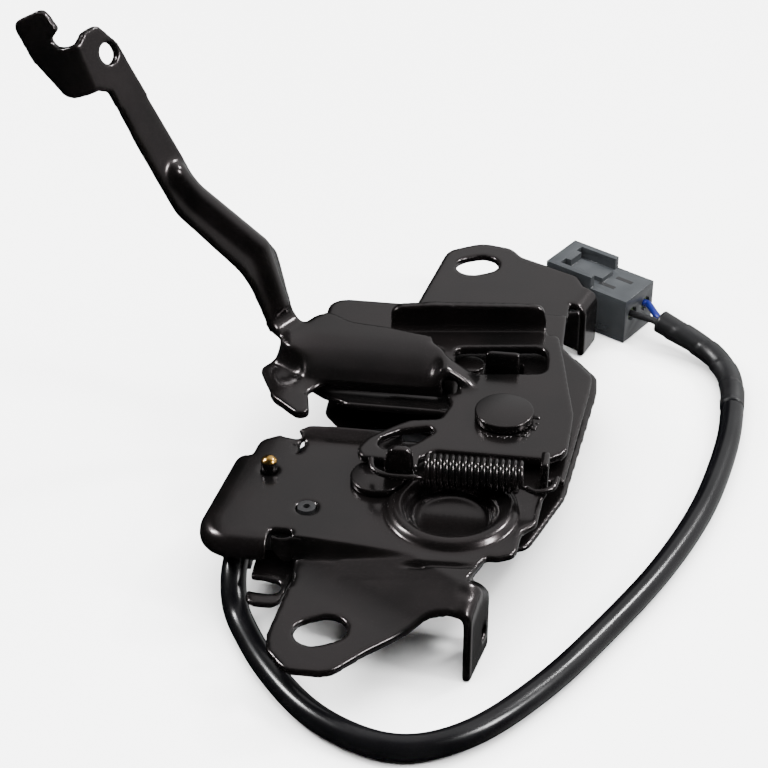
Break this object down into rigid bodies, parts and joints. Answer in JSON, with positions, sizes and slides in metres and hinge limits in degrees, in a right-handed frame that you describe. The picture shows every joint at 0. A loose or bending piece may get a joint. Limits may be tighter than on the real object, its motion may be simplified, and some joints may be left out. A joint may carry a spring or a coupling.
{
  "type": "bonnet latch",
  "caption": "Stamped steel bonnet latch with rotary claw, sprung safety lever with finger arm, bonnet switch and wiring tail with connector.",
  "frame": {"origin": "midway between the two fixing slots, on the mounting plane under the tabs", "axes": "+X along the striker slot away from its mouth, +Y along the row of fixing slots, +Z out of the latch face"},
  "size_m": [0.1748, 0.1943, 0.1171],
  "materials": {
    "black_paint": "semi-gloss dip coat",
    "zinc_steel": "zinc plated",
    "black_plastic": "moulded",
    "ivory_plastic": "moulded",
    "brass": "turned",
    "vinyl_sleeve": "semi-gloss extruded",
    "cloth_tape": "wound tape",
    "blue_wire": "extruded",
    "black_wire": "extruded",
    "grey_plastic": "moulded",
    "seal_rubber": "moulded"
  },
  "bodies": {
    "frame": {"base_plate": "black_paint", "rear_plate": "black_paint", "lever_rivet": "black_paint", "claw_rivet": "black_paint", "far_rivet": "black_paint", "lever_spring": "black_paint", "lever_bush": "zinc_steel", "far_spacer": "zinc_steel", "claw_spring": "zinc_steel", "pawl_spring": "zinc_steel", "switch_spring": "zinc_steel", "connector_terminals": "zinc_steel", "switch_housing": "black_plastic", "switch_contacts": "brass", "switch_rivet": "brass", "harness_sleeve": "vinyl_sleeve", "harness_tape": "cloth_tape", "blue_wire": "blue_wire", "black_wire": "black_wire", "connector_housing": "grey_plastic", "connector_retainer": "grey_plastic", "wire_seals": "seal_rubber"},
    "safety_lever": {"safety_lever": "black_paint"},
    "claw": {"claw": "zinc_steel"},
    "pawl": {"pawl": "zinc_steel"},
    "switch_plunger": {"switch_plunger": "ivory_plastic"}
  },
  "joints": [
    {"name": "lever_swing", "type": "hinge", "parent": "frame", "child": "safety_lever", "pos_m": [0.024, -0.0087, 0.011], "axis": [0, 0, -1], "range_deg": [0, 15], "stiffness_Nm_per_rad": 0.05, "deforming": ["lever_spring"]},
    {"name": "claw_turn", "type": "hinge", "parent": "frame", "child": "claw", "pos_m": [-0.003, -0.0312, 0.002], "axis": [0, 0, -1], "range_deg": [0, 48], "deforming": ["claw_spring"]},
    {"name": "pawl_turn", "type": "hinge", "parent": "frame", "child": "pawl", "pos_m": [0.024, -0.0087, 0.002], "axis": [0, 0, 1], "range_deg": [-7, 14], "deforming": ["pawl_spring"]},
    {"name": "switch_press", "type": "slide", "parent": "frame", "child": "switch_plunger", "axis": [0, 1, 0], "range_m": [0, 0.002], "deforming": ["switch_spring"]}
  ],
  "couplings": [
    {"joint": "switch_press", "follows": "claw_turn", "m_per_rad": 0.00238}
  ]
}
